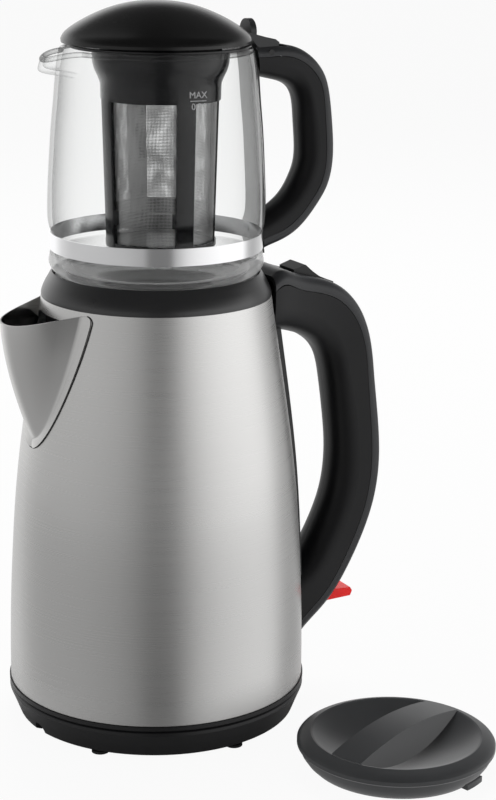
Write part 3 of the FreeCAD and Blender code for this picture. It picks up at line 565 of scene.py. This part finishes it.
def make_fill_mark():
    """Printed mark on the glass: MAX, a line and 0.8 l."""
    def printed(name, words, height):
        text = bpy.data.curves.new(name, "FONT")
        text.body = words
        text.size = MARK_LETTER * MM
        text.align_x = "CENTER"
        text.align_y = "CENTER"
        text.resolution_u = 4
        holder = bpy.data.objects.new(name + "_outline", text)
        bpy.context.scene.collection.objects.link(holder)
        bpy.context.view_layer.update()
        mesh = bpy.data.meshes.new_from_object(
            holder.evaluated_get(bpy.context.evaluated_depsgraph_get()))
        bpy.data.objects.remove(holder)
        wrap(name, mesh, height)

    def bar(name):
        mesh = bpy.data.meshes.new(name)
        half, thin = 0.5 * MARK_LINE * MM, 0.18 * MM
        columns = 12
        low = [(-half + 2 * half * i / columns, -thin, 0) for i in range(columns + 1)]
        high = [(x, thin, 0) for x, _, _ in low]
        faces = [(i, i + 1, columns + 2 + i, columns + 1 + i) for i in range(columns)]
        mesh.from_pydata(low + high, [], faces)
        wrap(name, mesh, MARK_HEIGHT)

    def wrap(name, flat, height):
        """Lay a flat drawing on the glass wall as a thin printed skin, closed along its edges."""
        places = [corner.co / MM for corner in flat.vertices]
        drawn = [tuple(face.vertices) for face in flat.polygons]
        bpy.data.meshes.remove(flat)
        count = len(places)
        points = []
        for stand_off in (-PRINT_SUNK, PRINT_PROUD):
            for across, up, _ in places:
                r = wall_radius(height + up) + stand_off
                angle = MARK_BEARING + across / r
                points.append(Vector((r * math.cos(angle), r * math.sin(angle), height + up)) * MM)
        edges = {(a, b): None for face in drawn for a, b in zip(face, face[1:] + face[:1])}
        faces = [tuple(reversed(face)) for face in drawn]
        faces += [tuple(count + i for i in face) for face in drawn]
        faces += [(a, b, count + b, count + a) for a, b in edges if (b, a) not in edges]
        mesh = bpy.data.meshes.new(name)
        mesh.from_pydata(points, [], faces)
        mesh.materials.append(PRINT)
        made = bpy.data.objects.new(name, mesh)
        bpy.context.scene.collection.objects.link(made)
        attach(made, "teapot")

    printed("mark_max", "MAX", MARK_HEIGHT + 2.7)
    bar("mark_line")
    printed("mark_volume", "0.8 l", MARK_HEIGHT - 2.8)


# ---------------------------------------------------------------- infuser
INFUSER_FOOT = 254.5
INFUSER_WALL = 1.6
RIB_PROUD = 0.5
WINDOW_BOTTOM = 257.0
RING_BOTTOM = 266.5
RING_TOP = 274.0
WINDOW_TOP = 328.6
RING_SET_BACK = 2.3                       # the lower ring lies inside the mesh
FUNNEL = curve_through([(34.8, 354.4), (34.8, 350.0), (34.5, 346.5), (33.5, 343.0), (32.0, 339.8),
                        (31.0, 337.2), (30.7, 334.5), (30.6, WINDOW_TOP)], 4)
RIB_HALF_ANGLE = math.radians(9.8)


def basket_radius(z):
    """Outside radius of the basket, which widens a little towards the funnel."""
    return 28.4 + 2.1 * (z - INFUSER_FOOT) / 74.5


def basket_is_open(angle, z):
    """Whether the basket has a window at this place."""
    turn = angle % (math.pi / 2)
    beside_rib = RIB_HALF_ANGLE < turn < math.pi / 2 - RIB_HALF_ANGLE
    return beside_rib and (WINDOW_BOTTOM < z < RING_BOTTOM or RING_TOP < z < WINDOW_TOP)


def cage_angles():
    """Angles round the cage, with the edges of its four ribs among them."""
    angles = []
    for quarter in range(4):
        start = quarter * math.pi / 2
        steps = [0.0, 0.55, 0.9, 1.0]
        for s in steps:
            angles.append(start + s * RIB_HALF_ANGLE)
        for i in range(1, 18):
            angles.append(start + RIB_HALF_ANGLE + (math.pi / 2 - 2 * RIB_HALF_ANGLE) * i / 18)
        for s in reversed(steps[1:]):
            angles.append(start + math.pi / 2 - s * RIB_HALF_ANGLE)
    return angles


def between_ribs(angle):
    """Whether this place and both its sides lie between two ribs."""
    return all(basket_is_open(angle + step, 300.0) for step in (-1e-4, 1e-4))


def cage_reach(r, z, angle, wall):
    """Radius of the cage's outside (wall 0) or inside at a place."""
    on_rib = not basket_is_open(angle + 1e-5, 300.0) and z < WINDOW_TOP + 0.4
    r += (RIB_PROUD if on_rib else 0.0) if wall == 0.0 else -wall
    return r - (RING_SET_BACK if z in (RING_BOTTOM, RING_TOP) and between_ribs(angle) else 0.0)


def make_infuser():
    """Ribbed cage with the funnel over it, its floor, and the flange that hangs in the glass."""
    angles = cage_angles()
    heights = [INFUSER_FOOT, 254.9, WINDOW_BOTTOM, RING_BOTTOM, RING_TOP, 292.0, 310.0, WINDOW_TOP]
    rows = [(basket_radius(z), z) for z in heights] + list(reversed(FUNNEL))[1:]
    count = len(angles)
    points, faces = [], []
    for wall in (0.0, INFUSER_WALL):
        for r, z in rows:
            for angle in angles:
                reach = cage_reach(r, z, angle, wall)
                points.append((INFUSER_X + reach * math.cos(angle), reach * math.sin(angle), z))
    inner = len(rows) * count
    full = {}
    for row in range(len(rows) - 1):
        for i in range(count):
            middle = 0.5 * (angles[i] + (angles[i + 1] if i + 1 < count else math.tau))
            full[row, i] = not basket_is_open(middle, 0.5 * (rows[row][1] + rows[row + 1][1]))
    for (row, i), solid in full.items():
        if not solid:
            continue
        j = (i + 1) % count
        a, b = row * count + i, row * count + j
        c, d = a + count, b + count
        faces.append((a, b, d, c))
        faces.append((a + inner, b + inner, d + inner, c + inner))
        for near, first, second in (((row, i - 1 if i else count - 1), a, c), ((row, j), b, d),
                                    ((row - 1, i), a, b), ((row + 1, i), c, d)):
            if not full.get(near, False):
                faces.append((first, second, second + inner, first + inner))
    piece("infuser_cage", "teapot", "gloss_black", points, faces, replaces=["infuser_frame"],
          finish=INFUSER_BLACK, sharp=38.0)
    plate = [(0.01, 0.0), (24.0, 0.0), (26.6, 0.1), (26.75, 0.8), (26.75, INFUSER_WALL),
             (24.0, INFUSER_WALL), (0.01, INFUSER_WALL)]
    rings = [[(INFUSER_X + r * math.cos(math.tau * n / 192), r * math.sin(math.tau * n / 192),
               INFUSER_FOOT + rise) for n in range(192)] for r, rise in plate]
    points, faces = skin(rings, capped=True)
    piece("infuser_floor", "teapot", "gloss_black", points, faces, finish=INFUSER_BLACK)
    flange = [(33.1, 354.3), (45.7, 354.3), (46.0, 354.6), (46.0, 355.6), (45.7, 355.9),
              (36.2, 355.9), (35.2, 355.3), (33.1, 355.3)]
    rings = [[(INFUSER_X + r * math.cos(math.tau * n / 144), r * math.sin(math.tau * n / 144), z)
              for r, z in flange] for n in range(144)]
    points, faces = loop_of(rings)
    piece("infuser_flange", "teapot", "gloss_black", points, faces, finish=INFUSER_BLACK)


# ---------------------------------------------------------------- loose lid
# Flared ring under the loose lid's flange, with a groove for the seal.
LOOSE_LID_CENTRE = (77.0, -123.2)
SKIRT_SECTION = [(40.0, 0.0), (42.4, 0.0), (43.6, 0.5), (46.2, 3.0), (48.4, 6.2), (49.5, 9.5),
                 (45.4, 9.5), (45.4, 7.2), (42.6, 7.2), (42.6, 8.5), (40.0, 8.5)]
LUG_SECTION = [(43.0, 1.0), (48.2, 1.0), (48.2, 4.0), (43.0, 4.0)]


def make_lid_skirt():
    """The skirt and its two lugs; like the rest of the loose lid, the steel doesn't mirror them."""
    def section_at(outline, degrees):
        turn = math.radians(degrees)
        return [(LOOSE_LID_CENTRE[0] + r * math.cos(turn),
                 LOOSE_LID_CENTRE[1] + r * math.sin(turn), z) for r, z in outline]

    points, faces = loop_of([section_at(SKIRT_SECTION, 2.5 * n) for n in range(144)])
    made = [piece("lid_skirt_flared", "kettle_lid", "lid_grey", points, faces,
                  replaces=["loose_lid_skirt"])]
    for name, middle in (("lid_lug_near", -66.0), ("lid_lug_far", 114.0)):
        points, faces = skin([section_at(LUG_SECTION, middle - 8.0 + 2.0 * n) for n in range(9)],
                             capped=True)
        made.append(piece(name, "kettle_lid", "lid_grey", points, faces, sharp=25.0))
    for ring in made:
        ring.visible_glossy = False


# ---------------------------------------------------------------- spout
STEEL_OUTLINE = [(78.8, 20.3), (78.1, 60.9), (76.4, 95.4), (73.8, 128.9), (70.2, 158.5),
                 (65.1, 192.5), (59.6, 228.5)]
STEEL_CURVE = curve_through(STEEL_OUTLINE, 8)
SPOUT_APEX = 154.0                        # lowest point of the seam
SPOUT_TIP = 85.4                          # reach of the ridge at the top, from the kettle's axis
SPOUT_SEAM = 33.2                         # half the spread of the seam at the top
FLANGE_WIDTH = 6.0
FACE_RISE = 5.0                           # the face starts this far above the seam's lowest point
FLANGE_STEP = 0.65                        # the flange's outer edge stands off the wall
FACE_SWELL = 0.24
RIDGE_BREADTH = 0.40
FLANGE_STEPS = 8
FACE_STEPS = 36
CREASE_RADIUS = 1.8
CREASE_LEAST = 0.02                       # half the spread left between the creases at the tip
TIP_HALF = 1.0                            # where the seam is narrower, the tip is all flange
CORNER_RADIUS = 3.6
SEAM_THICKNESS = 0.26
SEAM_END = 223.1
WALL_TOP = 228.5
SHEET = 0.9
SPOUT_OFFSET = 0.15                       # the pressing lies this far outside the wall


def wall_at(z):
    """Radius of the steel wall at a height."""
    return reading([(p[1], p[0]) for p in STEEL_CURVE], z)


def seam_half(z):
    """Half the spread of the seam at a height."""
    rise = max(0.0, min(1.0, (z - SPOUT_APEX) / (WALL_TOP - SPOUT_APEX)))
    return SPOUT_SEAM * math.sqrt(1.0 - (1.0 - rise) ** 1.5)


def face_rise(z):
    """Share of the way up the pressed face, which starts a little above the seam."""
    start = SPOUT_APEX + FACE_RISE
    return max(0.0, min(1.0, (z - start) / (WALL_TOP - start)))


def face_half(z):
    """Half the spread of the face, from crease to crease, at a height."""
    return (SPOUT_SEAM - FLANGE_WIDTH) * math.sqrt(1.0 - (1.0 - face_rise(z)) ** 1.5)


def ridge_reach(z):
    """Distance of the ridge from the kettle's axis at a height."""
    start = wall_at(SPOUT_APEX + FACE_RISE)
    return start + (SPOUT_TIP - start) * math.sin(face_rise(z) * math.pi / 2) ** 0.90


def rounded_corner(a, corner, b, reach, steps):
    """Points that round a corner of a path from a to b."""
    a, corner, b = Vector(a), Vector(corner), Vector(b)
    first = corner + (a - corner).normalized() * min(reach, (a - corner).length * 0.9)
    last = corner + (b - corner).normalized() * min(reach, (b - corner).length * 0.9)
    points = []
    for step in range(steps + 1):
        t = step / steps
        points.append(first * (1 - t) ** 2 + corner * 2 * t * (1 - t) + last * t * t)
    return points


def spout_half_section(z, inset):
    """Half of the spout's outline at a height: tilted flange, crease, full face, ridge."""
    half = max(seam_half(z) - inset, 0.03)
    radius = wall_at(z) + SPOUT_OFFSET - inset
    reach = max(ridge_reach(z) - inset, radius + 0.03)
    if half < TIP_HALF:
        flange = max(half - CREASE_LEAST, 0.01)
    else:
        flange = half - min(face_half(z), half - CREASE_LEAST)
    proud = radius + FLANGE_STEP * min(1.0, flange / FLANGE_WIDTH)
    seam_turn = math.asin(half / proud)
    root_turn = math.asin(max(half - flange, 0.01) / radius)
    strip = []
    for n in range(FLANGE_STEPS + 1):
        turn = seam_turn + (root_turn - seam_turn) * n / FLANGE_STEPS
        r = proud + (radius - proud) * n / FLANGE_STEPS
        strip.append(Vector((-r * math.cos(turn), -r * math.sin(turn))))
    root = strip[-1]
    nose = Vector((-reach, 0.0))
    chord = nose - root
    outward = Vector((-abs(chord.y), -abs(chord.x)))
    leave = root + 0.42 * (chord + FACE_SWELL * outward)
    arrive = nose - Vector((0.0, RIDGE_BREADTH * chord.length))
    face = [root * (1 - t) ** 3 + leave * 3 * t * (1 - t) ** 2 + arrive * 3 * t * t * (1 - t)
            + nose * t ** 3 for t in (n / FACE_STEPS for n in range(1, FACE_STEPS + 1))]
    crease = rounded_corner(strip[-3], root, face[6], min(CREASE_RADIUS, 0.25 * flange), 8)
    path = strip[:-2] + crease + face[6:]
    return [(p.x, p.y) for p in path]


def spout_lip(x):
    """Height of the sloping lip at a distance from the axis."""
    return reading([(-95.0, 218.4), (-52.0, 227.0), (-20.0, 229.0)], x)


def lip_heights(inset):
    """Top of each column of the half section, with the corner at the seam rounded."""
    section = spout_half_section(WALL_TOP - 1.0, inset)
    tops, run = [], 0.0
    for n, (x, y) in enumerate(section):
        if n:
            run += math.dist(section[n - 1], (x, y))
        short = max(0.0, CORNER_RADIUS - run)
        drop = CORNER_RADIUS - math.sqrt(CORNER_RADIUS ** 2 - short ** 2) + 0.3
        tops.append(spout_lip(x) - drop)
    return tops


def make_spout():
    """Pressed spout: outside and inside skins of the sheet, joined along their edges."""
    levels = 48
    foot = SPOUT_APEX + 0.15
    layers = []
    for inset in (0.0, SHEET):
        tops = lip_heights(inset)
        layer = []
        for n in range(levels + 1):
            share = (n / levels) ** 1.35
            row = []
            for column, top in enumerate(tops):
                z = foot + (top - foot) * share
                row.append((*spout_half_section(z, inset)[column], z))
            layer.append(row + [(x, -y, z) for x, y, z in reversed(row[:-1])])
        layers.append(layer)
    rings = layers[0] + list(reversed(layers[1]))
    count = len(rings[0])
    points, faces = skin(rings, wrap=False)
    last = len(rings) - 1
    for i in range(count - 1):
        faces.append((last * count + i, last * count + i + 1, i + 1, i))
    for side in (0, count - 1):
        for row in range(levels):
            mirror = last - row
            faces.append((row * count + side, (row + 1) * count + side,
                          (mirror - 1) * count + side, mirror * count + side))
    piece("spout_pressed", "kettle", "brushed_steel", points, faces, replaces=["spout"],
          finish=SPOUT_STEEL, sharp=60.0)


def make_spout_seam_shade():
    """Dark line round the flange, from the lowest point up and round the top corner: a thin near-black
    thread at the joint that paints the shade in the gap between flange and wall.
    """
    straight, bend, gap = 79, 12, 0.2
    seam = []
    for n in range(straight + bend + 1):
        swing = max(0, n - straight) / bend * math.radians(80.0)
        share = min(1.0, n / straight)
        z = SPOUT_APEX + gap + (SEAM_END - SPOUT_APEX - gap) * share ** 1.6
        half = seam_half(z) + gap - (CORNER_RADIUS + gap) * (1.0 - math.cos(swing))
        z += (CORNER_RADIUS + gap) * math.sin(swing)
        turn = math.asin(half / wall_at(z))
        reach = wall_at(z) + SPOUT_OFFSET
        seam.append(Vector((-reach * math.cos(turn), -reach * math.sin(turn), z)))
    path = [Vector((p.x, -p.y, p.z)) for p in reversed(seam)] + seam
    # the thread is painted shade: near-black where the gap at the joint is shadowed
    thread("spout_seam", "kettle", "brushed_steel", path, SEAM_THICKNESS, finish=SEAM_SHADOW)


def thread(name, body, slot, path, radius, finish=None):
    """Thin round bead along a path."""
    rings = []
    for n, here in enumerate(path):
        ahead = (path[min(n + 1, len(path) - 1)] - path[max(n - 1, 0)]).normalized()
        out = Vector((here.x, here.y, 0.0)).normalized()
        side = ahead.cross(out).normalized()
        out = side.cross(ahead)
        rings.append([here + radius * (math.cos(math.tau * k / 8) * out
                                       + math.sin(math.tau * k / 8) * side) for k in range(8)])
    points, faces = skin(rings, capped=True)
    return piece(name, body, slot, points, faces, finish=finish, sharp=70.0)


make_glass()
make_glass_rim()
make_fill_mark()
make_infuser()
make_lid_skirt()
make_spout()
make_spout_seam_shade()


# ---------------------------------------------------------------- floor, light and camera
def look(location, back, up):
    """Matrix of a lamp or camera at location whose local +Z is back and +Y is up."""
    back = Vector(back).normalized()
    across = Vector(up).cross(back).normalized()
    high = back.cross(across)
    return Matrix((
        (across.x, high.x, back.x, location[0]),
        (across.y, high.y, back.y, location[1]),
        (across.z, high.z, back.z, location[2]),
        (0.0, 0.0, 0.0, 1.0)))


def make_camera():
    across = Vector((math.cos(VIEW_AZIMUTH), -math.sin(VIEW_AZIMUTH), 0.0))
    away = Vector((math.sin(VIEW_AZIMUTH), math.cos(VIEW_AZIMUTH), 0.0))
    place = CAMERA_ASIDE * across - CAMERA_BACK * away + Vector((0.0, 0.0, CAMERA_HEIGHT))
    ahead = math.cos(VIEW_DROP) * away - Vector((0, 0, math.sin(VIEW_DROP)))
    up = math.sin(VIEW_DROP) * away + Vector((0, 0, math.cos(VIEW_DROP)))
    up = math.cos(VIEW_ROLL) * up - math.sin(VIEW_ROLL) * across
    lens = bpy.data.cameras.new("camera")
    lens.lens = 90.0
    lens.sensor_width = 36.0
    lens.clip_start = 0.01
    lens.clip_end = 200.0
    camera = bpy.data.objects.new("camera", lens)
    camera.matrix_world = look(place, -ahead, up)
    bpy.context.scene.collection.objects.link(camera)
    bpy.context.scene.camera = camera


def make_softbox(name, bearing, distance, height, width, tall, power):
    """Area lamp at a bearing in degrees round the object, facing it."""
    light = bpy.data.lights.new(name, "AREA")
    light.shape = "RECTANGLE"
    light.size = width
    light.size_y = tall
    light.energy = power
    angle = math.radians(bearing)
    place = Vector((distance * math.cos(angle), distance * math.sin(angle), height))
    box = bpy.data.objects.new(name, light)
    box.matrix_world = look(place, place - Vector((0.0, 0.0, 0.2)), (0, 0, 1))
    box.visible_glossy = False
    bpy.context.scene.collection.objects.link(box)


STUDIO_FRONT = 115.3                      # turns world bearings so that 0 is the front
WALL_IMAGE_SHIFT = 0.0395                 # metres; lines up the table's bands with the walls'
# Brightness of the studio round the object, by bearing in degrees, low and high up.
WALL_TONES = [
    (-180, 1.20), (-142, 1.20), (-124, 0.80), (-105, 0.64), (-60, 0.60), (-34, 0.53), (-14, 0.44),
    (-4, 0.12), (13, 0.12), (21, 0.52), (34, 0.86), (48, 1.06), (66, 1.20), (92, 1.34),
    (107, 1.28), (118, 0.62), (128, 0.52), (150, 0.72), (180, 1.20)]
ROOF_TONES = [
    (-180, 0.08), (-155, 0.12), (-128, 0.45), (-100, 0.20), (-70, 0.10), (100, 0.10), (125, 0.22),
    (150, 0.12), (180, 0.08)]


def studio_tone(finish, x, y, tones, spread=1.0):
    """Brightness of the studio in the direction x, y from the object."""
    bearing = finish.node("ShaderNodeMath", {"operation": "ARCTAN2"}, {0: y, 1: x})
    turn = (bearing / math.tau + (STUDIO_FRONT / 360.0 + 0.5)).part()
    return finish.ramp(0.5 + (turn - 0.5) * spread,
                       [((a + 180.0) / 360.0, tone) for a, tone in tones])


def make_room():
    """White to look at; softer, uneven studio walls in the reflections."""
    world = bpy.data.worlds.new("studio")
    bpy.context.scene.world = world
    world.use_nodes = True
    finish = Finish(world.node_tree)
    x, y, z = finish.axes(finish.node("ShaderNodeTexCoord", output=0))
    walls = studio_tone(finish, x, y, WALL_TONES)
    roof = finish.colours(finish.ramp(z, [(0.0, 0.0), (0.93, 0.0), (0.985, 1.0), (1.0, 1.0)]),
                          studio_tone(finish, x, y, ROOF_TONES), grey(0.10))
    high = finish.ramp(z, [(0.0, 0.0), (0.24, 0.0), (0.46, 1.0), (1.0, 1.0)])
    ray = finish.node("ShaderNodeLightPath").socket.node.outputs
    white = Wire(finish, ray["Is Camera Ray"]).either(Wire(finish, ray["Is Transmission Ray"]))
    room = finish.node("ShaderNodeBackground", sockets={
        "Color": finish.colours(white, finish.colours(high, walls, roof), grey(1.0)),
        "Strength": 1.0})
    finish.node("ShaderNodeOutputWorld", sockets={"Surface": room})


def make_floor():
    """Pale table top that keeps the soft shadow."""
    mesh = bpy.data.meshes.new("floor")
    half = 14.0
    mesh.from_pydata([(-half, -half, 0), (half, -half, 0), (half, half, 0), (-half, half, 0)],
                     [], [(0, 1, 2, 3)])
    floor = bpy.data.objects.new("floor", mesh)
    bpy.context.scene.collection.objects.link(floor)

    def make(finish):
        ray = finish.node("ShaderNodeLightPath").socket.node.outputs
        seen = Wire(finish, ray["Is Camera Ray"]).either(
            Wire(finish, ray["Is Transmission Ray"]))
        mirrored = Wire(finish, ray["Is Glossy Ray"])
        x, y, z = finish.axes(finish.place())
        far = finish.ramp((x * x + y * y) * 0.5, [(0.0, 0.0), (0.0035, 0.0), (0.010, 1.0), (1.0, 1.0)])
        matt = finish.node("ShaderNodeBsdfDiffuse", sockets={"Color": grey(0.86)})
        reach = (x * x + y * y) ** 0.5
        spread = 1.0 / (1.0 - WALL_IMAGE_SHIFT / reach.either(0.1))
        fall = finish.ramp(reach, [(0.0, 0.67), (0.20, 0.67), (0.45, 0.68), (1.0, 0.87)])
        tone = studio_tone(finish, x, y, WALL_TONES, spread).either(0.21) * fall
        studio = finish.node("ShaderNodeEmission", sockets={
            "Color": finish.colours(mirrored, grey(1.0), tone), "Strength": 1.0})
        return finish.node("ShaderNodeMixShader", sockets={
            0: (0.94 * seen).either(mirrored * far), 1: matt, 2: studio})

    mesh.materials.append(surface("pale_table", make))


bpy.context.scene.view_settings.view_transform = "Standard"
make_camera()
make_room()
make_floor()
make_softbox("window_lamp", -40.0, 1.6, 0.70, 1.1, 1.7, 4.0)
make_softbox("wall_lamp", 175.0, 1.8, 0.80, 1.4, 1.6, 6.0)
make_softbox("top_lamp", 60.0, 1.2, 1.5, 1.2, 1.0, 22.0)
